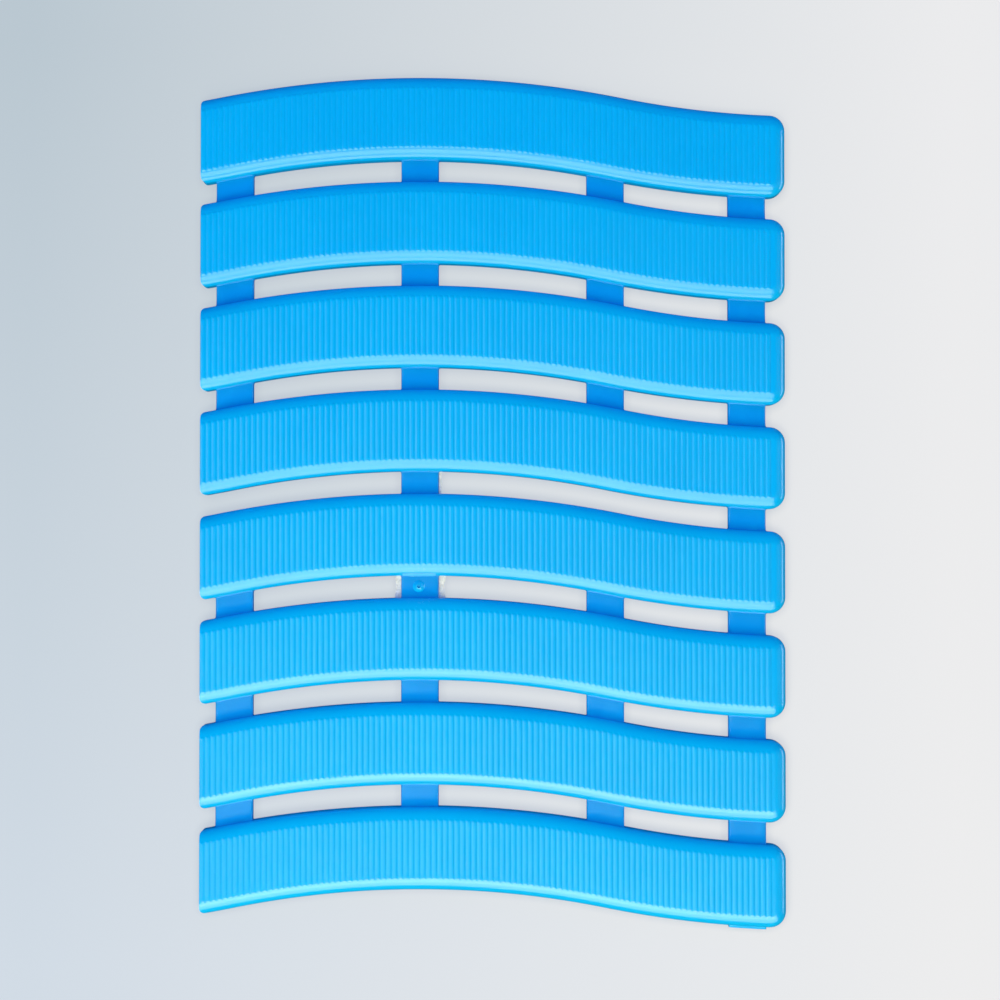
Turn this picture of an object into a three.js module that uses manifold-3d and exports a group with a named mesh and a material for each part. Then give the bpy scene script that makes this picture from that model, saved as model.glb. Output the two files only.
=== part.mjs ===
// Slatted wet-area floor mat: wavy hollow slats lie side by side and short flexible webs join them.
// Millimetres, +Z up. X runs along the slats, Y across them, and the mat stands on Z = 0.
import * as THREE from "three";
import { mergeVertices } from "three/addons/utils/BufferGeometryUtils.js";
import Module from "manifold-3d";

const wasm = await Module();
wasm.setup();

// Slats
const slatCount = 8;
const slatPitch = 101; // from one slat to the next, across the mat
const slatWidth = 79.5;
const slatHeight = 22;
const matLength = 566; // along the slats
const edgeWidth = 11.5; // the rounded upper edges start this far in from the sides
const edgeDrop = 9; // and end this far down them
const rightCornerRadius = 15.5; // corners of the ends, seen from above
const leftCornerRadius = 5;
const leftEdgeRadius = 1.5; // the left end is flat, with only a small upper edge
const shellThickness = 2.4; // top and skirt
const ribThickness = 1.8; // the stiffening ribs under the top
const ribEndRadius = 0.5;
const crossRibCount = 9;

// The wave that every slat follows: circular arcs that meet where the wave changes its bend
const arcRadius = 950;
const quarterWave = 187.5; // along X, from a crest to where the bend changes
const crestX = -71;

// Webs that join one slat to the next, and stand for the mat's living hinges
const webColumns = { left: -251, crest: crestX, middle: 109, right: 246.5 };
const webWidth = 36.5;
const webTop = 10;
const webBottom = 4;
const webPlate = 3; // thickness of the web's flat top
const webFlange = 2.4; // thickness of its two sides
const webEdgeRadius = 1.2;
const foldLineGap = 4; // this gap has no web in the left and middle columns
const cutStubLength = 2.8; // what is left of a web that was cut from the last slat
const webReach = 25; // how far a web is drawn each way before the slats cut it to length
const moldGap = 0.3; // between a web and the slats it belongs to

// The mark where plastic entered the mould, on one web
const gateGap = 5;
const gateRadius = 5.6;
const gateHeight = 1.6;
const gateLip = 0.8;
const dimpleRadius = 1.5;

const arcSteps = 4; // an arc is drawn with twice as many straight pieces
const outerRoundSteps = 3;
const innerRoundSteps = 1;
const webRoundSteps = 3;
const lipSteps = 1;
const gateSides = 12;
const samePoint = 0.01;
const weldDistance = 0.0001;
const beyond = 80; // how far a cutting block reaches past what it cuts
const halfTurn = Math.PI;
const down = -halfTurn / 2;
const waveSlope = Math.asin(quarterWave / arcRadius);
const quarterDrop = arcRadius * (1 - Math.cos(waveSlope));
const crestCentre = new THREE.Vector2(crestX, -arcRadius);
const leftTroughCentre = new THREE.Vector2(crestX - 2 * quarterWave, arcRadius - 2 * quarterDrop);
const rightTroughCentre = new THREE.Vector2(crestX + 2 * quarterWave, arcRadius - 2 * quarterDrop);

const blue = new THREE.MeshStandardMaterial({ color: 0x0aa6f2, roughness: 0.42, metalness: 0 });
const webBlue = new THREE.MeshStandardMaterial({ color: 0x0795e6, roughness: 0.42, metalness: 0 });

// Height of the wave's centreline above its crest, at a place along the mat
function waveAt(x) {
  const fromCrest = x - crestX;
  if (Math.abs(fromCrest) <= quarterWave) {
    return Math.sqrt(arcRadius ** 2 - fromCrest ** 2) - arcRadius;
  }
  const fromTrough = Math.abs(fromCrest) - 2 * quarterWave;
  return arcRadius - Math.sqrt(arcRadius ** 2 - fromTrough ** 2) - 2 * quarterDrop;
}

// A place below a trough's centre: how high it is, and in which direction it lies from there
function belowTrough(centre, x, radius) {
  const aside = x - centre.x;
  const below = Math.sqrt(radius ** 2 - aside ** 2);
  return { y: centre.y - below, angle: Math.atan2(-below, aside) };
}

// A slat seen from above, drawn past its left end, which is cut to shape later
function slatOutline(halfWidth, leftEnd, rightEnd, cornerRadius) {
  const near = arcRadius - halfWidth;
  const far = arcRadius + halfWidth;
  const cornerX = rightEnd - cornerRadius;
  const leftAngle = (radius) => belowTrough(leftTroughCentre, leftEnd, radius).angle;
  const upper = belowTrough(rightTroughCentre, cornerX, near + cornerRadius);
  const lower = belowTrough(rightTroughCentre, cornerX, far - cornerRadius);
  const { x: leftX, y: troughY } = leftTroughCentre;
  const rightX = rightTroughCentre.x;
  const outline = new THREE.Shape();
  outline.absarc(leftX, troughY, near, leftAngle(near), down + waveSlope, false);
  outline.absarc(crestX, crestCentre.y, far, waveSlope - down, -down - waveSlope, true);
  outline.absarc(rightX, troughY, near, down - waveSlope, upper.angle, false);
  outline.absarc(cornerX, upper.y, cornerRadius, upper.angle + halfTurn, 0, true);
  outline.absarc(cornerX, lower.y, cornerRadius, 0, lower.angle, true);
  outline.absarc(rightX, troughY, far, lower.angle, down - waveSlope, true);
  outline.absarc(crestX, crestCentre.y, near, -down - waveSlope, waveSlope - down, false);
  outline.absarc(leftX, troughY, far, down + waveSlope, leftAngle(far), true);
  return withoutDoubles(outline);
}

// Where two arcs meet, their end points are one point
function withoutDoubles(outline) {
  const points = outline.getPoints(arcSteps);
  const next = (index) => points[(index + 1) % points.length];
  return new THREE.Shape(points.filter((point, index) => point.distanceTo(next(index)) > samePoint));
}

function toSolid(geometry) {
  const bare = geometry.clone();
  bare.deleteAttribute("normal");
  bare.deleteAttribute("uv");
  const merged = mergeVertices(bare, weldDistance);
  return new wasm.Manifold(
    new wasm.Mesh({
      numProp: 3,
      vertProperties: new Float32Array(merged.attributes.position.array),
      triVerts: new Uint32Array(merged.index.array),
    }),
  );
}

function toMesh(name, solid, material) {
  const { vertProperties, triVerts } = solid.getMesh();
  const geometry = new THREE.BufferGeometry();
  geometry.setAttribute("position", new THREE.BufferAttribute(vertProperties, 3));
  geometry.setIndex(new THREE.BufferAttribute(triVerts, 1));
  geometry.computeVertexNormals();
  const mesh = new THREE.Mesh(geometry, material);
  mesh.name = name;
  return mesh;
}

function block(low, high) {
  const size = high.map((value, axis) => value - low[axis]);
  const geometry = new THREE.BoxGeometry(...size);
  geometry.translate(...low.map((value, axis) => value + size[axis] / 2));
  return toSolid(geometry);
}

// An upright body with rounded upper edges, from the floor to its top
function roundedPrism(outline, top, edge) {
  const geometry = new THREE.ExtrudeGeometry(outline, {
    depth: top - edge.drop + beyond,
    bevelSize: edge.width,
    bevelOffset: -edge.width,
    bevelThickness: edge.drop,
    bevelSegments: edge.steps,
  });
  return toSolid(geometry.translate(0, 0, -beyond)).intersect(
    block([-matLength, -slatPitch, 0], [matLength, slatPitch, slatHeight]),
  );
}

// The place of the left end, and its two rounded corners: what lies left of them is cut off
function leftEndOutline(inset) {
  const radius = leftCornerRadius - inset;
  const cornerX = leftCornerRadius - matLength / 2;
  const halfWidth = slatWidth / 2 - leftCornerRadius;
  const upper = belowTrough(leftTroughCentre, cornerX, arcRadius - halfWidth);
  const lower = belowTrough(leftTroughCentre, cornerX, arcRadius + halfWidth);
  const outline = new THREE.Shape();
  outline.moveTo(matLength, slatPitch);
  outline.lineTo(cornerX, slatPitch);
  outline.absarc(cornerX, upper.y, radius, upper.angle + halfTurn, halfTurn, false);
  outline.absarc(cornerX, lower.y, radius, halfTurn, lower.angle + 2 * halfTurn, false);
  outline.lineTo(cornerX, -slatPitch);
  outline.lineTo(matLength, -slatPitch);
  return withoutDoubles(outline);
}

// The slat's outer body, or a smaller one inside it
function slatBody(inset, steps) {
  const outline = slatOutline(
    slatWidth / 2 - inset,
    -matLength / 2 - beyond,
    matLength / 2 - inset,
    rightCornerRadius - inset,
  );
  const top = slatHeight - inset;
  const edge = { width: edgeWidth - inset, drop: edgeDrop - inset, steps };
  const leftEdge = { width: leftEdgeRadius, drop: leftEdgeRadius, steps: 1 };
  const leftEnd = roundedPrism(leftEndOutline(inset), top, leftEdge);
  return roundedPrism(outline, top, edge).intersect(leftEnd);
}

// A straight-sided body of the slat's outline, grown by a margin
function slatPrism(margin) {
  const outline = slatOutline(
    slatWidth / 2 + margin,
    -matLength / 2 - beyond,
    matLength / 2 + margin,
    rightCornerRadius + margin,
  );
  const geometry = new THREE.ExtrudeGeometry(outline, {
    depth: slatHeight,
    bevelEnabled: false,
  });
  return toSolid(geometry);
}

// Stiffening ribs: one along the middle of the slat, and others across it
function stiffeningRibs() {
  const outline = slatOutline(ribThickness / 2, -matLength / 2 - beyond, matLength / 2, ribEndRadius);
  const length = new THREE.ExtrudeGeometry(outline, {
    depth: slatHeight + 2 * beyond,
    bevelEnabled: false,
  });
  let ribs = toSolid(length.translate(0, 0, -beyond));
  const half = ribThickness / 2;
  for (let rib = 1; rib <= crossRibCount; rib += 1) {
    const x = matLength * (rib / (crossRibCount + 1) - 1 / 2);
    ribs = ribs.add(block([x - half, -slatWidth, -beyond], [x + half, slatWidth, slatHeight]));
  }
  return ribs;
}

// The web's section, an upside-down channel, run along Y between two places
function webChannel(x, fromY, toY) {
  const side = webWidth / 2;
  const section = new THREE.Shape();
  section.moveTo(-side, webBottom);
  section.absarc(-side + webEdgeRadius, webTop - webEdgeRadius, webEdgeRadius, halfTurn, -down, true);
  section.absarc(side - webEdgeRadius, webTop - webEdgeRadius, webEdgeRadius, -down, 0, true);
  section.lineTo(side, webBottom);
  section.lineTo(side - webFlange, webBottom);
  section.lineTo(side - webFlange, webTop - webPlate);
  section.lineTo(-side + webFlange, webTop - webPlate);
  section.lineTo(-side + webFlange, webBottom);
  const geometry = new THREE.ExtrudeGeometry(section, {
    depth: toY - fromY,
    curveSegments: webRoundSteps,
    bevelEnabled: false,
  });
  geometry.rotateX(-down);
  geometry.translate(x, toY, 0);
  return toSolid(geometry);
}

// Left on the web by the plastic's way in: a low round boss with a dimple in its middle
function gateMark() {
  const profile = new THREE.Path();
  profile.moveTo(0, -webPlate / 2);
  profile.lineTo(gateRadius, -webPlate / 2);
  profile.absarc(gateRadius - gateLip, gateHeight - gateLip, gateLip, 0, -down, false);
  profile.lineTo(dimpleRadius, gateHeight);
  profile.lineTo(0, 0);
  const geometry = new THREE.LatheGeometry(profile.getPoints(lipSteps), gateSides);
  geometry.rotateX(-down);
  geometry.translate(crestX, 0, webTop);
  return toSolid(geometry);
}

function makeSlat(withCutStub) {
  let body = slatBody(0, outerRoundSteps);
  if (withCutStub) {
    const x = webColumns.right;
    const edge = waveAt(x) - slatWidth / 2;
    body = body.add(webChannel(x, edge - cutStubLength, edge + webReach));
  }
  return body.subtract(slatBody(shellThickness, innerRoundSteps).subtract(stiffeningRibs()));
}

// A web between two slats, in the frame of the gap that it crosses
function makeWeb(x) {
  const neighbour = slatPrism(moldGap);
  const middle = waveAt(x);
  return webChannel(x, middle - webReach, middle + webReach)
    .subtract(neighbour.translate([0, slatPitch / 2, 0]))
    .subtract(neighbour.translate([0, -slatPitch / 2, 0]));
}

const mat = new THREE.Group();
const plainSlat = makeSlat(false);
for (let number = 1; number <= slatCount; number += 1) {
  const solid = number === slatCount ? makeSlat(true) : plainSlat;
  const slat = toMesh(`slat_${number}`, solid, blue);
  slat.position.y = -number * slatPitch;
  mat.add(slat);
}

const webs = Object.entries(webColumns).map(([column, x]) => [column, makeWeb(x)]);
for (let gap = 1; gap < slatCount; gap += 1) {
  for (const [column, plainWeb] of webs) {
    if (gap === foldLineGap && (column === "left" || column === "middle")) {
      continue;
    }
    const hasGate = gap === gateGap && column === "crest";
    const web = toMesh(`web_${gap}_${column}`, hasGate ? plainWeb.add(gateMark()) : plainWeb, webBlue);
    web.position.y = -(gap + 0.5) * slatPitch;
    mat.add(web);
  }
}

// The origin is on the floor, under the middle of the mat's outline
const bounds = new THREE.Box3().setFromObject(mat);
mat.position.y = -(bounds.min.y + bounds.max.y) / 2;

export default mat;
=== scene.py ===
import math

import bmesh
import bpy
import numpy as np
from mathutils import Matrix, Vector


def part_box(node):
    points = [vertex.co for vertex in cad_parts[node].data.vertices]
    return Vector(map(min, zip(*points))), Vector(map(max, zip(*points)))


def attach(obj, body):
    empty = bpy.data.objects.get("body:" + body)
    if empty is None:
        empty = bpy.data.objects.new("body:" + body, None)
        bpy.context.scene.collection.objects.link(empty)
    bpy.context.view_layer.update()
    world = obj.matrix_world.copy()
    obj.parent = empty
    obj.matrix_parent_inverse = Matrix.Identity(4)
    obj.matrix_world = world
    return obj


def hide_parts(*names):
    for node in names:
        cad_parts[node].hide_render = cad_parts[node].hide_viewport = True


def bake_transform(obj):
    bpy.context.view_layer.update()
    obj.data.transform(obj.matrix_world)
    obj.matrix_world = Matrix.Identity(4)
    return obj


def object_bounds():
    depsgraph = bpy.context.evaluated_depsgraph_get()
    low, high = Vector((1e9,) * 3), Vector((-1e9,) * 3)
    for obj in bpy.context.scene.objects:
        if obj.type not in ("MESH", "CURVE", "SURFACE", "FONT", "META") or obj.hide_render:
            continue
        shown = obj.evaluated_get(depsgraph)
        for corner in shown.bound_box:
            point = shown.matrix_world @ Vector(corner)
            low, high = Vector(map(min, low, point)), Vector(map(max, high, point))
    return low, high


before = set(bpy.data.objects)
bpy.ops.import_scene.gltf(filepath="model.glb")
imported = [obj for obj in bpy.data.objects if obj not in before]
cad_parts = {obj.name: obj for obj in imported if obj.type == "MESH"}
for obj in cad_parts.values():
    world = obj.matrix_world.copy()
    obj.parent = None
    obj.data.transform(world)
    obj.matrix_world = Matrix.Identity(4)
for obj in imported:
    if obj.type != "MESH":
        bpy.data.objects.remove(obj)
cad_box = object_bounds()

METRES = 0.001
LOW, HIGH = (np.array(corner) / METRES for corner in cad_box)

# ---------------------------------------------------------------- sizes

SLATS = 8
PITCH = 101.0  # from one slat to the next
HALF_WIDTH = 39.75
HEIGHT = HIGH[2]
LEFT_END, RIGHT_END = LOW[0], HIGH[0]

# The wave that every slat follows: circular arcs that meet where the wave changes its bend
ARC_RADIUS = 950.0
QUARTER_WAVE = 187.5
CREST_X = -71.0
CREST_TO_TROUGH = 2 * QUARTER_WAVE
SLOPE = math.asin(QUARTER_WAVE / ARC_RADIUS)
QUARTER_DROP = ARC_RADIUS * (1 - math.cos(SLOPE))

# The upper edges are rounded, and turn down early
EDGE_WIDTH = 11.5
EDGE_DROP = 9.0
EDGE_BEND = 1.5  # a power: 2 is a quarter of an ellipse, and less turns down earlier
RIGHT_CORNER = 15.5
LEFT_CORNER = 5.0
LEFT_CORNER_STEPS = 8
LEFT_EDGE_ROWS = ((-0.6, 0.0), (-0.1, 0.35), (0.7, 1.2))  # height over the top, and distance in
FOOT_ROWS = ((0.7, 0.0), (0.2, 0.3), (0.0, 0.9))  # the wall's rounded foot: distance in, and height
EDGE_ROWS = np.linspace(0, 0.87, 15) ** 2  # shares of the edge's width, closest where it is steep

# Grip ribs on top, along Y
RIB_PITCH = 5.459
RIB_HALF_WIDTH = 2.35
RIB_HEIGHT = 0.75
RIB_ROUNDNESS = 2.2
LAST_RIB_X = 265.9
RIB_COUNT = 101
RIB_SAMPLES = (-2.25, -1.75, -1.0, 0.0, 1.0, 1.75, 2.25, RIB_PITCH / 2)
RIB_END_FROM, RIB_END_TO = 10.1, 13.3  # a rib rises over this stretch, measured from the slat's side
RIB_END_ROWS = (8.9, 9.7, 10.3, 10.8, 11.2, 11.5, 11.9, 12.4, 12.9, 13.3, 14.0, 14.6, 14.9, 15.2)
COARSENESS = 4  # the rows outside the ribs have every fourth of the points that the ribs need

# Underside
SHELL = 2.4
INNER_EDGE_ROWS = (0.0, 0.05, 0.15, 0.3, 0.5, 0.75)
INNER_STATIONS = 81
STIFFENER = 1.8
CROSS_STIFFENERS = 9
STIFFENER_STATIONS = 61

# Webs
WEB_COLUMNS = {"left": -251.0, "crest": CREST_X, "middle": 109.0, "right": 246.5}
WEB_LENGTH = PITCH - 2 * HALF_WIDTH
WEB_HALF_WIDTH = 18.25
WEB_TOP = 10.0
WEB_BOTTOM = 4.0
WEB_PLATE = 3.0
WEB_FLANGE = 2.4
WEB_INNER_BEVEL = 1.0
WEB_ROUND = 2.2  # the rounding of a web's upper edges, across,
WEB_DROP = 2.6  # and in height
WEB_ROUND_STEPS = 6
WEB_TOP_SHARES = (0.6, 0.25)  # points on the flat of its top, as shares of its half width
WEB_ROOT = 1.2  # how deep a web reaches into the slats' walls
WEB_SIDE_FILLETS = (1.9, 1.2)  # seen from above, at the upper slat and at the lower one
WEB_TOP_FILLET = 0.4  # where a web's top meets the upper slat
WEB_RISE = 3.6  # a web's top curves up by this much to meet the lower slat,
WEB_RISE_REACH = 10.0  # starting this far from it
WEB_NEAR_WALL = (0.0, 0.15, 0.4, 0.8, 1.4, 2.2, 3.2, 4.4, 5.8)  # its sections' distances from a wall
WEB_MIDDLE_FROM = 7.5
STUB_LENGTH = 2.8
STUB_RAGGED = 0.25

# The mark where plastic entered the mould
GATE_GAP = 5
GATE_RADIUS = 5.9
GATE_HEIGHT = 3.6
GATE_BEND = 1.6  # a power: 1 is a cone, and 2 is a parabola
GATE_ROOT = 1.5  # how deep it reaches into the web
GATE_DIMPLE = 1.5
GATE_FLOOR = (0.4, 0.2)  # the dimple's floor, at its side and in its middle
GATE_ASIDE = (-1.0, 0.2)  # from the middle of its web

# Thin flash beside webs, and a torn edge on the slat above the gate
FILM_WIDTH = 6.5
SMALL_FILM_WIDTH = 3.5
FILM_THICKNESS = 0.25
FILM_Z = WEB_BOTTOM + 0.2
FILM_IN_WEB = 0.8
FILM_IN_WALL = 0.6
FILM_RAGGED = 0.22  # as a share of its width
BEAD_HEIGHT = 0.45
BEAD_AT, BEAD_HALF_WIDTH = 0.55, 0.09  # as shares of the film's width
LIP_REACH = 0.9
LIP_FROM, LIP_TO = -0.9, 0.85  # as shares of the web's half width
LIP_STATIONS = 45

# A lip's rows: how far it stands out (a share of its reach, or below zero a depth in the wall), height,
# and how ragged that height is
LIP_ROWS = (
    (-2.2, 18.3, 0.0),
    (-1.0, 17.2, 0.3),
    (0.0, 14.9, 0.4),
    (1.0, 13.6, 0.2),
    (1.0, 13.2, 0.0),
    (0.0, 12.6, 0.0),
    (-2.2, 12.6, 0.0),
)

# Places in a piece's list of materials, after its plastic
FILM = 1  # on a web, for the thin flash beside it
GATE = 2  # on a web, for the gate mark
TORN = 1  # on a slat, for the torn lip

SHARP_DEGREES = 38  # edges that turn more than this aren't shaded smooth

FLOOR_HALF = 20000.0
FLOOR_Z = -0.2  # just under the mat, so that the two never coincide

# The camera looks down almost square to the floor; metres, degrees, millimetres of lens
CAMERA_PLACE = (0.0067, -0.0273, 1.9757)
CAMERA_TILT = 0.86
CAMERA_LENS = 72.9

# Colours and light, linear
BLUE = (0.0, 0.455, 0.82, 1.0)
DEEP_BLUE = (0.0, 0.43, 0.79, 1.0)
# The webs are the slats' own plastic made darker: painted shade, for they lie low between the slats
WEB_SHADED_BLUE = (0.0, 0.29, 0.7, 1.0)
WEB_SHADED_DEEP_BLUE = (0.0, 0.27, 0.66, 1.0)
PALE = (0.0, 0.51, 0.89, 1.0)
SCUFFED = (0.1, 0.52, 0.9, 1.0)
FILM_BLUE = (0.84, 0.84, 0.74, 1.0)
FILM_WHITE = (0.96, 0.93, 0.82, 1.0)
TORN_BLUE = (0.14, 0.56, 0.9, 1.0)
# The floor's glow is painted light: brighter to the right and towards -Y, darkest at the upper left
FLOOR_UPPER_LEFT = (0.45, 0.53, 0.58, 1.0)
FLOOR_LOWER_LEFT = (0.58, 0.65, 0.72, 1.0)
FLOOR_RIGHT = (0.79, 0.79, 0.79, 1.0)
FLOOR_GLOW = 1.0
FLOOR_SHADE = (0.05, 0.05, 0.05, 1.0)
# Painted shade: the colour the floor's glow darkens to close to the mat
FLOOR_PAINTED_CONTACT_SHADE = (0.42, 0.47, 0.55, 1.0)
WORLD_STRENGTH = 0.12
WHITE = (1.0, 1.0, 1.0)
WARM = (1.0, 0.98, 0.86)
COOL = (0.55, 0.58, 1.0)
BLUE_BOUNCE = (0.0, 0.2, 1.0)
PLASTIC_IOR = 1.49
SCUFFS_FROM, SCUFFS_TO = 0.022, 0.014  # metres from the gate: scuffs fade in over this stretch

# Softboxes: name, degrees of lean from upright towards -Y and towards +X, distance in metres, half of the
# angle that one fills along X and across, how bright it looks, its colour, and whether it is for the gloss
SOFTBOXES = (
    ("key", 33, -12, 3.0, (18, 28), 5.9, WARM, False),
    ("right_fill", 5, 58, 3.0, (15, 15), 2.0, WARM, False),
    ("left_fill", 5, -58, 3.0, (15, 15), 1.6, COOL, False),
    ("back_fill", -45, 0, 3.0, (22, 14), 3.2, BLUE_BOUNCE, False),
    ("sheen", 34, 6, 8.0, (22, 13), 3.8, WHITE, True),
    ("rib_sheen", 16, -40, 8.0, (20, 10), 2.2, WHITE, True),
    ("low_sheen", 62, 5, 0.9, (35, 15), 4.6, WHITE, True),
    ("side_sheen", 0, 84, 2.5, (20, 4), 6.0, WHITE, True),
)


def wave(x, beside=0.0):
    """Y along a curve that runs beside a slat's centreline, measured from the centreline's crest."""
    x = np.asarray(x, float)
    from_crest = np.abs(x - CREST_X)
    crest = np.sqrt((ARC_RADIUS + beside) ** 2 - from_crest**2) - ARC_RADIUS
    from_trough = from_crest - CREST_TO_TROUGH
    trough = ARC_RADIUS - 2 * QUARTER_DROP - np.sqrt((ARC_RADIUS - beside) ** 2 - from_trough**2)
    return np.where(from_crest <= (ARC_RADIUS + beside) * math.sin(SLOPE), crest, trough)


def crest_y(number):
    """Where the centreline of a slat has its crest."""
    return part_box(f"slat_{number}")[1][1] / METRES - HALF_WIDTH


# ---------------------------------------------------------------- mesh making


class Net:
    """Points and faces, gathered until they become a mesh."""

    def __init__(self):
        self.points = []
        self.faces = []
        self.kinds = []

    def line(self, points):
        start = len(self.points)
        self.points.extend(tuple(float(v) for v in point) for point in points)
        return list(range(start, len(self.points)))

    def face(self, corners, kind=0):
        kept = [c for i, c in enumerate(corners) if c != corners[i - 1]]
        if len(kept) > 2:
            self.faces.append(kept)
            self.kinds.append(kind)

    def strip(self, one, other, kind=0):
        for i in range(len(one) - 1):
            self.face([one[i], one[i + 1], other[i + 1], other[i]], kind)

    def loft(self, lines, kind=0):
        for one, other in zip(lines, lines[1:]):
            self.strip(one, other, kind)

    def block(self, rows):
        """A closed block from rows of points, each of which is a closed ring."""
        rings = [self.line(row) for row in rows]
        self.loft([ring + ring[:1] for ring in rings])
        self.face(rings[0])
        self.face(rings[-1])

    def zip_lines(self, one, other):
        """Joins two lines that have different numbers of points, both in order of X."""
        i = j = 0
        x = [p[0] for p in self.points]
        while i < len(one) - 1 or j < len(other) - 1:
            step_one = j == len(other) - 1 or (
                i < len(one) - 1 and x[one[i + 1]] <= x[other[j + 1]]
            )
            if step_one:
                self.face([one[i], one[i + 1], other[j]])
                i += 1
            else:
                self.face([one[i], other[j + 1], other[j]])
                j += 1

    def mesh(self, name, shift_y=0.0):
        data = bpy.data.meshes.new(name)
        points = [(x * METRES, (y + shift_y) * METRES, z * METRES) for x, y, z in self.points]
        data.from_pydata(points, [], self.faces)
        data.polygons.foreach_set("material_index", self.kinds)
        data.validate()
        return data


def new_object(name, data):
    made = bpy.data.objects.new(name, data)
    bpy.context.scene.collection.objects.link(made)
    return made


def tidy_mesh(data):
    """Joins points that are one, and turns all faces outwards."""
    work = bmesh.new()
    work.from_mesh(data)
    bmesh.ops.remove_doubles(work, verts=work.verts, dist=1e-6)
    bmesh.ops.dissolve_degenerate(work, edges=work.edges, dist=1e-7)
    bmesh.ops.recalc_face_normals(work, faces=work.faces)
    work.to_mesh(data)
    work.free()


def shade_mesh(data):
    """Smooth shading, but for the sharp edges."""
    data.shade_smooth()
    data.set_sharp_from_angle(angle=math.radians(SHARP_DEGREES))


def solid(net):
    made = new_object("solid", net.mesh("solid"))
    tidy_mesh(made.data)
    return made


def cut(body, tool, operation):
    """Applies one boolean to body, and removes the tool."""
    modifier = body.modifiers.new("cut", "BOOLEAN")
    modifier.operation = operation
    modifier.solver = "EXACT"
    modifier.object = tool
    graph = bpy.context.evaluated_depsgraph_get()
    result = bpy.data.meshes.new_from_object(body.evaluated_get(graph))
    body.modifiers.remove(modifier)
    body.data = result
    bpy.data.objects.remove(tool)


# ---------------------------------------------------------------- slats

RIB_X = LAST_RIB_X - RIB_PITCH * np.arange(RIB_COUNT)[::-1]
FINE_X = (RIB_X[:, None] + np.array(RIB_SAMPLES)).ravel()
REACH = 5.0  # a slat is drawn this far past its left end, and what cuts it reaches as far past the slat
STIFFENER_REACH = 3.0  # what shapes the stiffeners reaches this far above and below


def rib_height(x):
    """Height of the ribs over the top, along the slat."""
    nearest = RIB_X[np.abs(np.asarray(x)[..., None] - RIB_X).argmin(-1)]
    aside = np.abs(np.asarray(x) - nearest) / RIB_HALF_WIDTH
    return RIB_HEIGHT * np.clip(1 - aside**RIB_ROUNDNESS, 0, None)


class Form:
    """A slat's outer form, or the smaller one of the hollow inside it."""

    ARC_STEPS = 10
    BESIDE = (0.66, 0.33, 0.0, -0.33, -0.66)  # lines on the flat of the top, as shares of its half width

    def __init__(self, shrink):
        self.half = HALF_WIDTH - shrink
        self.corner = RIGHT_CORNER - shrink
        self.corner_x = RIGHT_END - RIGHT_CORNER
        self.flat = HALF_WIDTH - RIGHT_CORNER
        self.top = HEIGHT - shrink
        self.width = EDGE_WIDTH - shrink
        self.drop = EDGE_DROP - shrink
        self.net = Net()

    def height(self, x, inset):
        aside = np.clip(1 - inset / self.width, 0, 1)
        return self.top - self.drop + self.drop * np.sqrt(1 - aside**EDGE_BEND) + np.zeros(len(x))

    def end_loop(self, inset, z):
        """A line round the right-hand end, from the upper side to the lower, a distance in from them."""
        radius = self.corner - inset
        from_trough = CREST_X + CREST_TO_TROUGH - self.corner_x
        upper_turn = math.asin(from_trough / (ARC_RADIUS - self.flat))
        lower_turn = math.asin(from_trough / (ARC_RADIUS + self.flat))
        upper = np.linspace(math.pi / 2 - upper_turn, 0, self.ARC_STEPS + 1)
        lower = np.linspace(0, -math.pi / 2 - lower_turn, self.ARC_STEPS + 1)
        upper_y, lower_y = wave(self.corner_x, self.flat), wave(self.corner_x, -self.flat)
        x = np.concatenate([np.cos(upper), np.ones(len(self.BESIDE)), np.cos(lower)]) * radius
        shares = (1 - np.array(self.BESIDE)) / 2
        y = np.concatenate(
            [
                upper_y + np.sin(upper) * radius,
                upper_y + (lower_y - upper_y) * shares,
                lower_y + np.sin(lower) * radius,
            ]
        )
        return self.net.line(np.column_stack([x + self.corner_x, y, z(x + self.corner_x, inset)]))

    def build(self, sides, shoulders, coarse, fine):
        """The rows run along both sides and round the end: first coarse ones, then fine ones."""
        rows = [(inset, z, coarse) for inset, z in sides] + [(inset, z, fine) for inset, z in shoulders]
        loops = [self.end_loop(inset, z) for inset, z, _ in rows]
        self.net.loft(loops)
        lines = {}
        for side in (1, -1):
            lines[side] = []
            for (inset, z, x), loop in zip(rows, loops):
                y = wave(x, side * (self.half - inset))
                points = self.net.line(np.column_stack([x, y, z(x, inset)]))
                lines[side].append(points + [loop[0] if side > 0 else loop[-1]])
            for one, other in zip(lines[side], lines[side][1:]):
                if len(one) == len(other):
                    self.net.strip(one, other)
                else:
                    self.net.zip_lines(one, other)
        inset, z, x = rows[-1]
        middle = [lines[1][-1]]
        for index, share in enumerate(self.BESIDE):
            points = self.net.line(np.column_stack([x, wave(x, share * self.flat), z(x, inset)]))
            middle.append(points + [loops[-1][self.ARC_STEPS + 1 + index]])
        middle.append(lines[-1][-1])
        self.net.loft(middle)
        self.net.face(lines[1][0][:-1] + loops[0] + lines[-1][0][-2::-1])
        left = [line[0] for line in lines[1] + middle[1:-1] + lines[-1][::-1]]
        self.net.face(left)
        return self.net

    def side_rows(self, foot, shares):
        """Rows up the wall and over the rounded edge: distance in from the side, and height there."""
        rows = [(inset, level(z)) for inset, z in foot]
        rows.append((0.0, level((self.top - self.drop) / 2)))
        return rows + [(self.width * share, self.height) for share in shares]


def level(z):
    return lambda x, inset: np.full(len(x), z)


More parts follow.
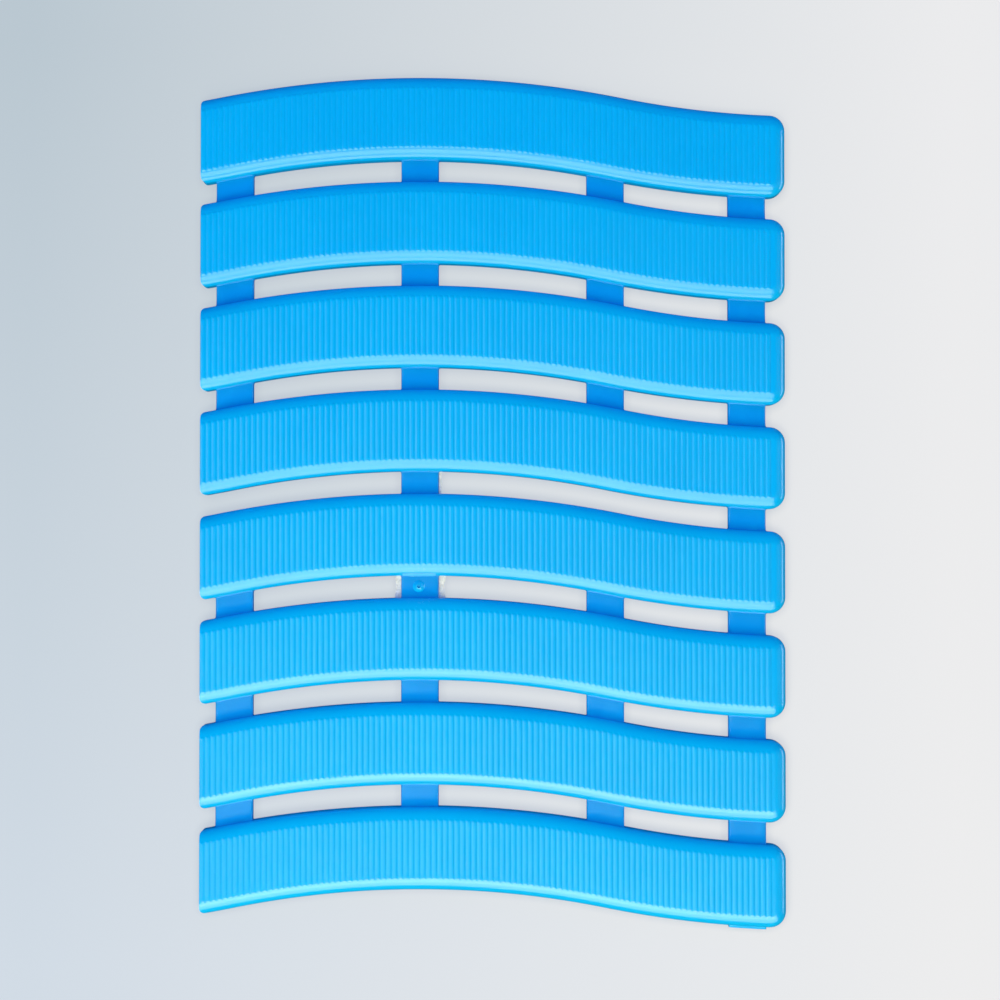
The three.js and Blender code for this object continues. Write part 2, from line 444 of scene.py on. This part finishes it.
def slat_outside():
    form = Form(0)
    x = FINE_X[FINE_X < form.corner_x]
    fine = np.concatenate([[LEFT_END - REACH], x[x > LEFT_END - REACH]])

    def ribbed(x, inset):
        risen = min(max((inset - RIB_END_FROM) / (RIB_END_TO - RIB_END_FROM), 0), 1)
        return form.height(x, inset) + rib_height(x) * math.sin(risen * math.pi / 2)

    sides = form.side_rows(FOOT_ROWS, EDGE_ROWS)
    shoulders = [(inset, ribbed) for inset in (*RIB_END_ROWS, RIGHT_CORNER)]
    return form.build(sides, shoulders, fine[::COARSENESS], fine)


def slat_inside():
    form = Form(SHELL)
    x = np.linspace(LEFT_END - REACH, form.corner_x - 1, INNER_STATIONS)
    open_foot = ((0.0, -1.0),)
    shoulders = [(form.width, level(form.top)), (form.corner, level(form.top))]
    return form.build(form.side_rows(open_foot, INNER_EDGE_ROWS), shoulders, x, x)


def left_end(shrink):
    """A block that keeps everything right of the left end and its two rounded corners."""
    centre_x = LEFT_END + LEFT_CORNER
    flat = HALF_WIDTH - LEFT_CORNER
    from_trough = centre_x - (CREST_X - CREST_TO_TROUGH)
    upper_turn = math.asin(from_trough / (ARC_RADIUS - flat))
    lower_turn = math.asin(from_trough / (ARC_RADIUS + flat))
    upper = np.linspace(math.pi / 2 + upper_turn, math.pi, LEFT_CORNER_STEPS + 1)
    lower = np.linspace(math.pi, 1.5 * math.pi + lower_turn, LEFT_CORNER_STEPS + 1)
    upper_y, lower_y = float(wave(centre_x, flat)), float(wave(centre_x, -flat))
    far_x, far_y = RIGHT_END + REACH, PITCH
    top = HEIGHT - shrink
    rows = []
    for z, inset in ((-REACH, 0), *((top + rise, inset) for rise, inset in LEFT_EDGE_ROWS)):
        radius = LEFT_CORNER - shrink - inset
        xy = [(far_x, far_y), (centre_x, far_y)]
        xy += [(centre_x + radius * math.cos(a), upper_y + radius * math.sin(a)) for a in upper]
        xy += [(centre_x + radius * math.cos(a), lower_y + radius * math.sin(a)) for a in lower]
        xy += [(centre_x, -far_y), (far_x, -far_y)]
        rows.append([(x, y, z) for x, y in xy])
    net = Net()
    net.block(rows)
    return net


def ring_yz(x, low_y, high_y):
    """An upright rectangle across the slats, taller than they are."""
    below, above = -STIFFENER_REACH, HEIGHT + STIFFENER_REACH
    return [(x, low_y, below), (x, high_y, below), (x, high_y, above), (x, low_y, above)]


def cross_stiffeners():
    net = Net()
    half = STIFFENER / 2
    for number in range(1, CROSS_STIFFENERS + 1):
        x = LEFT_END + (RIGHT_END - LEFT_END) * number / (CROSS_STIFFENERS + 1)
        net.block([ring_yz(x - half, -PITCH, PITCH), ring_yz(x + half, -PITCH, PITCH)])
    return net


def long_stiffener():
    half = STIFFENER / 2
    stations = np.linspace(LEFT_END - REACH, RIGHT_END + REACH, STIFFENER_STATIONS)
    net = Net()
    net.block([ring_yz(x, float(wave(x, -half)), float(wave(x, half))) for x in stations])
    return net


def slat_shape():
    """The finished slat, with its crest at Y = 0."""
    body, hollow = (solid(net) for net in (slat_outside(), slat_inside()))
    cut(body, solid(left_end(0)), "INTERSECT")
    cut(hollow, solid(left_end(SHELL)), "INTERSECT")
    cut(hollow, solid(cross_stiffeners()), "DIFFERENCE")
    cut(hollow, solid(long_stiffener()), "DIFFERENCE")
    cut(body, hollow, "DIFFERENCE")
    data = body.data
    bpy.data.objects.remove(body)
    return data


def web_section():
    """The upside-down channel's outline: distance aside and height, all the way round."""
    arc = np.radians(np.linspace(0, 90, WEB_ROUND_STEPS + 1))
    half, inner = WEB_HALF_WIDTH, WEB_HALF_WIDTH - WEB_FLANGE
    outline = [(half, WEB_BOTTOM), (half, (WEB_BOTTOM + WEB_TOP) / 2)]
    outline += [(half - WEB_ROUND * (1 - math.cos(a)), WEB_TOP - WEB_DROP * (1 - math.sin(a))) for a in arc]
    outline += [(half * share, WEB_TOP) for share in WEB_TOP_SHARES]
    mirrored = [(-aside, z) for aside, z in outline[::-1]]
    under = WEB_TOP - WEB_PLATE
    bevel = WEB_INNER_BEVEL
    inside = [(-inner, WEB_BOTTOM), (-inner, under - bevel), (-inner + bevel, under)]
    return outline + mirrored + inside + [(-aside, z) for aside, z in inside[::-1]]


def web_stations():
    """Distances from the upper wall at which the section is repeated: close together near both walls."""
    near = np.array([-WEB_ROOT, *WEB_NEAR_WALL])
    middle = np.linspace(WEB_MIDDLE_FROM, WEB_LENGTH - WEB_MIDDLE_FROM, 3)
    return np.concatenate([near, middle, (WEB_LENGTH - near)[::-1]])


def flare(distance, radius):
    """How far a fillet of that radius stands out, at a distance from its wall."""
    left = np.clip(radius - distance, 0, radius)
    return radius - np.sqrt(radius**2 - left**2)


def channel(centre_x, stations, upper_y, lower_y, fillets):
    """A web between two lines: a channel section repeated at distances from the upper line."""
    section = np.array(web_section())
    outward = np.sign(section[:, 0]) * (np.abs(section[:, 0]) > WEB_HALF_WIDTH - WEB_ROUND - 0.01)
    on_top = section[:, 1] > WEB_TOP - WEB_DROP
    rows = []
    for distance in stations:
        to_lower = WEB_LENGTH - distance
        out = flare(distance, fillets[0]) + flare(to_lower, fillets[1])
        rise = WEB_RISE / WEB_RISE_REACH * flare(to_lower, WEB_RISE_REACH)
        up = flare(distance, WEB_TOP_FILLET) + rise
        x = centre_x + section[:, 0] + outward * out
        high, low = upper_y(x), lower_y(x)
        y = high + (low - high) * distance / WEB_LENGTH
        rows.append(np.column_stack([x, y, section[:, 1] + on_top * up]))
    net = Net()
    net.block(rows)
    return net


def web_net(gap, centre_x):
    upper, lower = crest_y(gap), crest_y(gap + 1)
    return channel(
        centre_x,
        web_stations(),
        lambda x: upper + wave(x, -HALF_WIDTH),
        lambda x: lower + wave(x, HALF_WIDTH),
        WEB_SIDE_FILLETS,
    )


def stub_net(rng):
    """What is left of a web that was cut off the last slat, with its crest at Y = 0."""
    stations = (-WEB_ROOT, 0.0, 0.15, 0.4, 0.8, 1.4, 2.0, STUB_LENGTH)
    ragged = rng.uniform(-STUB_RAGGED, STUB_RAGGED, 7)
    side_x = WEB_HALF_WIDTH * np.linspace(-1, 1, len(ragged))
    centre_x = WEB_COLUMNS["right"]

    def wall(x):
        return wave(x, -HALF_WIDTH)

    def cut_off(x):
        return wall(x) - WEB_LENGTH - np.interp(x - centre_x, side_x, ragged)

    return channel(centre_x, stations, wall, cut_off, (WEB_SIDE_FILLETS[0], 0.0))


# ---------------------------------------------------------------- the gate mark and what is round it


def lathe(net, profile, x, y, z, kind, sides=48):
    """A turned solid about a vertical axis; its profile starts and ends on the axis."""
    turns = np.linspace(0, 2 * math.pi, sides, endpoint=False)
    first = net.line([(x, y, z + profile[0][1])])
    last = net.line([(x, y, z + profile[-1][1])])
    lines = []
    for radius, height in profile[1:-1]:
        circle = [(x + radius * math.cos(a), y + radius * math.sin(a), z + height) for a in turns]
        lines.append(net.line(circle))
    net.loft([line + line[:1] for line in lines], kind)
    for i in range(sides):
        net.face([first[0], lines[0][i], lines[0][i - 1]], kind)
        net.face([last[0], lines[-1][i], lines[-1][i - 1]], kind)


def gate_mark(net, x, y):
    """A low dome with a dimple in its middle."""
    profile = [(0, -GATE_ROOT), (GATE_RADIUS, -GATE_ROOT)]
    for share in (1.0, 0.92, 0.84, 0.75, 0.65, 0.54, 0.42, 0.32):
        profile.append((GATE_RADIUS * share, GATE_HEIGHT * (1 - share**GATE_BEND)))
    profile += [(GATE_DIMPLE, GATE_HEIGHT * 0.85), (GATE_DIMPLE * 0.85, GATE_FLOOR[0]), (0, GATE_FLOOR[1])]
    lathe(net, profile, x, y, WEB_TOP, GATE)


def film(net, gap, from_x, width, rng):
    """A thin skin of flash beside a web, from one slat's wall to the next.

    Its free edge is ragged, and a bead runs along it.
    """
    out = np.linspace(0, 1, 7)
    down = np.linspace(0, 1, 13)
    layers = []
    edge = 1 + FILM_RAGGED * np.convolve(rng.uniform(-1, 1, len(down) + 2), (0.25, 0.5, 0.25), "valid")
    for height, bead_share in ((FILM_Z + FILM_THICKNESS, 1), (FILM_Z, -0.5)):
        lines = []
        for share in out:
            x = from_x + width * share * edge
            high = crest_y(gap) + wave(x, -HALF_WIDTH) + FILM_IN_WALL
            low = crest_y(gap + 1) + wave(x, HALF_WIDTH) - FILM_IN_WALL
            bead = BEAD_HEIGHT * math.exp(-(((share - BEAD_AT) / BEAD_HALF_WIDTH) ** 2))
            z = np.full(len(x), height + bead * bead_share)
            lines.append(net.line(np.column_stack([x, high + (low - high) * down, z])))
        layers.append(lines)
    for lines in layers:
        net.loft(lines, FILM)
    top, bottom = layers
    net.strip(top[0], bottom[0], FILM)
    net.strip(top[-1], bottom[-1], FILM)
    for end in (0, -1):
        net.strip([line[end] for line in top], [line[end] for line in bottom], FILM)


def torn_lip(rng):
    """A thin torn edge on the wall of the slat above the gate. The slat's crest is at Y = 0."""
    net = Net()
    x = np.linspace(CREST_X + LIP_FROM * WEB_HALF_WIDTH, CREST_X + LIP_TO * WEB_HALF_WIDTH, LIP_STATIONS)
    along = np.linspace(-1, 1, len(x))
    ragged = np.convolve(rng.uniform(-1, 1, len(x) + 4), np.full(5, 0.2), "valid")
    reach = LIP_REACH * np.sqrt(1 - along**2) * (1 + 0.5 * ragged)
    wall = wave(x, -HALF_WIDTH)
    rows = []
    for share, z, uneven in LIP_ROWS:
        out = reach * share if share > 0 else share
        rows.append(net.line(np.column_stack([x, wall - out, z + uneven * (1 + ragged)])))
    net.loft(rows + rows[:1], TORN)
    net.face([row[0] for row in rows], TORN)
    net.face([row[-1] for row in rows], TORN)
    return net


# ---------------------------------------------------------------- materials


class Nodes:
    """A short way to write a material's nodes."""

    def __init__(self, name):
        self.material = bpy.data.materials.new(name)
        self.material.use_nodes = True
        self.tree = self.material.node_tree
        self.shader = self.tree.nodes["Principled BSDF"]
        self.place = self.add("ShaderNodeTexCoord").outputs["Object"]

    def add(self, kind, inputs=None, **settings):
        node = self.tree.nodes.new(kind)
        for key, value in settings.items():
            setattr(node, key, value)
        for key, value in (inputs or {}).items():
            if isinstance(value, bpy.types.NodeSocket):
                self.tree.links.new(value, node.inputs[key])
            else:
                node.inputs[key].default_value = value
        return node

    def stretched(self, scale):
        return self.add("ShaderNodeMapping", {"Vector": self.place, "Scale": scale}).outputs[0]

    def noise(self, scale, detail=3.0, vector=None):
        inputs = {"Vector": vector or self.place, "Scale": scale, "Detail": detail}
        return self.add("ShaderNodeTexNoise", inputs).outputs["Fac"]

    def between(self, value, low, high, from_low=0.3, from_high=0.7):
        inputs = {"Value": value, "To Min": low, "To Max": high}
        inputs |= {"From Min": from_low, "From Max": from_high}
        return self.add("ShaderNodeMapRange", inputs).outputs[0]

    def mix(self, share, one, other):
        node = self.add("ShaderNodeMix", data_type="RGBA")
        colour = [socket for socket in node.inputs if socket.type == "RGBA"]
        for socket, value in ((node.inputs["Factor"], share), (colour[0], one), (colour[1], other)):
            if isinstance(value, bpy.types.NodeSocket):
                self.tree.links.new(value, socket)
            else:
                socket.default_value = value
        return next(socket for socket in node.outputs if socket.type == "RGBA")

    def bump(self, height, distance, strength, normal=None):
        inputs = {"Height": height, "Distance": distance, "Strength": strength}
        if normal:
            inputs["Normal"] = normal
        return self.add("ShaderNodeBump", inputs).outputs[0]

    def drive(self, **inputs):
        for key, value in inputs.items():
            socket = self.shader.inputs[key.replace("_", " ")]
            if isinstance(value, bpy.types.NodeSocket):
                self.tree.links.new(value, socket)
            else:
                socket.default_value = value


def soft_plastic(name, light, deep, scuffed):
    """Satin moulded plastic: a slow change of shade, a fine grain and a little uneven gloss.

    Where it is scuffed it has pale rub marks round the gate, as the slats beside it have.
    """
    nodes = Nodes(name)
    slow = nodes.noise(scale=9.0, detail=2.0)
    cloud = nodes.noise(scale=60.0, detail=4.0)
    along = nodes.noise(scale=1.0, vector=nodes.stretched((900.0, 40.0, 200.0)))
    grain = nodes.noise(scale=2600.0, detail=2.0)
    shade = nodes.mix(nodes.between(slow, 0.0, 1.0), light, deep)
    marked = nodes.mix(nodes.between(cloud, 0.0, 0.12, from_low=0.5, from_high=0.75), shade, PALE)
    colour = nodes.mix(nodes.between(along, 0.0, 0.06, from_low=0.4, from_high=0.8), marked, deep)
    if scuffed:
        gate_y = (crest_y(GATE_GAP) + crest_y(GATE_GAP + 1)) / 2
        gate = (CREST_X * METRES, gate_y * METRES, HEIGHT * METRES)
        offset = nodes.add("ShaderNodeVectorMath", {0: nodes.place, 1: gate}, operation="DISTANCE")
        near = nodes.between(offset.outputs["Value"], 1.0, 0.0, SCUFFS_TO, SCUFFS_FROM)
        spots = nodes.noise(scale=300.0, detail=4.0)
        marks = nodes.between(spots, 0.0, 0.6, from_low=0.58, from_high=0.7)
        scuff = nodes.add("ShaderNodeMath", {0: near, 1: marks}, operation="MULTIPLY")
        colour = nodes.mix(scuff.outputs[0], colour, SCUFFED)
    rough = nodes.between(cloud, 0.17, 0.2)
    grained = nodes.bump(grain, distance=0.00004, strength=0.35)
    bumped = nodes.bump(along, distance=0.00006, strength=0.5, normal=grained)
    nodes.drive(Base_Color=colour, Roughness=rough, Normal=bumped, IOR=PLASTIC_IOR)
    return nodes.material


def thin_film():
    """Flash so thin that the light comes through it."""
    nodes = Nodes("thin_flash")
    cloud = nodes.noise(scale=320.0, detail=4.0)
    colour = nodes.mix(nodes.between(cloud, 0.0, 1.0), FILM_BLUE, FILM_WHITE)
    rough = nodes.between(cloud, 0.3, 0.5)
    alpha = nodes.between(cloud, 0.45, 0.7)
    nodes.drive(Base_Color=colour, Roughness=rough, Alpha=alpha, IOR=PLASTIC_IOR)
    return nodes.material


def floor_material():
    """A pale floor that mostly glows by itself, so that what stands on it casts only a faint shadow. Its
    glow is painted light, brighter to the right and towards -Y, and painted shade darkens it close to the
    mat.
    """
    nodes = Nodes("pale_floor")
    place = nodes.add("ShaderNodeSeparateXYZ", {"Vector": nodes.place})
    # Painted light: the glow grows brighter to the right and towards -Y
    across = nodes.between(place.outputs["X"], 0.0, 1.0, -0.45, 0.45)
    along = nodes.between(place.outputs["Y"], 0.0, 1.0, -0.45, 0.45)
    left = nodes.mix(along, FLOOR_LOWER_LEFT, FLOOR_UPPER_LEFT)
    colour = nodes.mix(across, left, FLOOR_RIGHT)
    # Painted shade: the glow darkens where the floor is close to the mat
    open_sky = nodes.add("ShaderNodeAmbientOcclusion", {"Distance": 0.01}, samples=8).outputs["AO"]
    glow = nodes.mix(nodes.between(open_sky, 0.0, 1.0, 0.0, 1.0), FLOOR_PAINTED_CONTACT_SHADE, colour)
    nodes.drive(Base_Color=FLOOR_SHADE, Roughness=0.8, Specular_IOR_Level=0.0)
    nodes.drive(Emission_Color=glow, Emission_Strength=FLOOR_GLOW)
    return nodes.material


# ---------------------------------------------------------------- the scene


def place_camera():
    camera = bpy.data.cameras.new("camera")
    camera.lens = CAMERA_LENS
    holder = new_object("camera", camera)
    holder.location = CAMERA_PLACE
    holder.rotation_euler = (math.radians(CAMERA_TILT), 0, 0)
    bpy.context.scene.camera = holder


def softbox(name, lean_y, lean_x, distance, spread, radiance, colour, gloss):
    """A lamp of a given brightness and angular size. It lights either the colour or the gloss."""
    lean = (math.tan(math.radians(lean_x)), -math.tan(math.radians(lean_y)), 1)
    direction = Vector(lean).normalized()
    light = bpy.data.lights.new(name, "AREA")
    light.shape = "RECTANGLE"
    light.size, light.size_y = (2 * distance * math.tan(math.radians(angle)) for angle in spread)
    light.energy = radiance * math.pi * light.size * light.size_y
    light.color = colour
    holder = new_object(name, light)
    holder.location = direction * distance
    holder.rotation_euler = direction.to_track_quat("Z", "Y").to_euler()
    holder.visible_glossy = gloss
    holder.visible_diffuse = not gloss


def place_lights():
    for box in SOFTBOXES:
        softbox(*box)
    world = bpy.data.worlds.new("world")
    bpy.context.scene.world = world
    world.use_nodes = True
    world.cycles_visibility.glossy = False
    background = world.node_tree.nodes["Background"]
    background.inputs["Color"].default_value = (*COOL, 1)
    background.inputs["Strength"].default_value = WORLD_STRENGTH


def place_floor():
    net = Net()
    corners = ((-1, -1), (1, -1), (1, 1), (-1, 1))
    net.face(net.line([(x * FLOOR_HALF, y * FLOOR_HALF, FLOOR_Z) for x, y in corners]))
    floor = new_object("floor", net.mesh("floor"))
    floor.data.materials.append(floor_material())
    floor.visible_glossy = False


def add_to(data, net, shift_y):
    """Adds another closed body to a mesh."""
    extra = net.mesh("extra", shift_y)
    tidy_mesh(extra)
    work = bmesh.new()
    work.from_mesh(data)
    work.from_mesh(extra)
    work.to_mesh(data)
    work.free()
    bpy.data.meshes.remove(extra)


def moved_copy(data, name, shift_y):
    copy = data.copy()
    copy.name = name
    copy.transform(Matrix.Translation((0, shift_y * METRES, 0)))
    return copy


def place_slats(plastic, torn):
    shape = slat_shape()
    tidy_mesh(shape)
    rng = np.random.default_rng(3)
    for number in range(1, SLATS + 1):
        name = f"slat_{number}"
        piece = new_object(f"{name}_moulding", moved_copy(shape, name, crest_y(number)))
        if number == SLATS:
            add_to(piece.data, stub_net(rng), crest_y(number))
        if number == GATE_GAP:
            add_to(piece.data, torn_lip(rng), crest_y(number))
        shade_mesh(piece.data)
        piece.data.materials.append(plastic)
        if number == GATE_GAP:
            piece.data.materials.append(torn)
        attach(piece, name)
        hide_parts(name)


def wall_point(slat, x, side):
    """A place on a slat's side wall, level with the tops of the webs, in metres."""
    y = crest_y(slat) + float(wave(x, side * HALF_WIDTH))
    return np.array((x, y, WEB_TOP)) * METRES


def add_marks(net, gap, x, rng):
    """The gate mark and the flash, which are on webs of the crest's column only."""
    if gap == GATE_GAP:
        middle_y = (wall_point(gap, x, -1) + wall_point(gap + 1, x, 1))[1] / 2 / METRES
        gate_mark(net, x + GATE_ASIDE[0], middle_y + GATE_ASIDE[1])
        for side in (1, -1):
            film(net, gap, x + side * (WEB_HALF_WIDTH - FILM_IN_WEB), side * FILM_WIDTH, rng)
    if gap == GATE_GAP - 1:
        film(net, gap, x + WEB_HALF_WIDTH - FILM_IN_WEB, SMALL_FILM_WIDTH, rng)


def join_slats(piece, x):
    """Works out the wave's slope at x, and bakes the web's placement into its mesh."""
    slope = -float(wave(x + 1) - wave(x - 1)) / 2
    normal = np.array((slope, 1.0, 0.0))
    normal /= np.linalg.norm(normal)
    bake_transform(piece)


def place_webs(plastic, flash, gate):
    rng = np.random.default_rng(7)
    for gap in range(1, SLATS):
        for column, x in WEB_COLUMNS.items():
            name = f"web_{gap}_{column}"
            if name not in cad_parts:
                continue
            net = web_net(gap, x)
            if column == "crest":
                add_marks(net, gap, x, rng)
            piece = new_object(f"{name}_hinge", net.mesh(name))
            tidy_mesh(piece.data)
            shade_mesh(piece.data)
            for material in (plastic, flash, gate):
                piece.data.materials.append(material)
            join_slats(piece, x)
            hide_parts(name)


bpy.context.scene.view_settings.view_transform = "Standard"
place_camera()
place_lights()
place_floor()
SLAT_PLASTIC = soft_plastic("blue_slat_plastic", BLUE, DEEP_BLUE, True)
# The webs' darker copy of the plastic is painted shade; their gate marks keep the slats' lighter plastic
WEB_SHADED_PLASTIC = soft_plastic("blue_web_plastic_painted_shade", WEB_SHADED_BLUE, WEB_SHADED_DEEP_BLUE, False)
TORN_PLASTIC = soft_plastic("pale_torn_plastic", TORN_BLUE, PALE, False)
place_slats(SLAT_PLASTIC, TORN_PLASTIC)
place_webs(WEB_SHADED_PLASTIC, thin_film(), SLAT_PLASTIC)
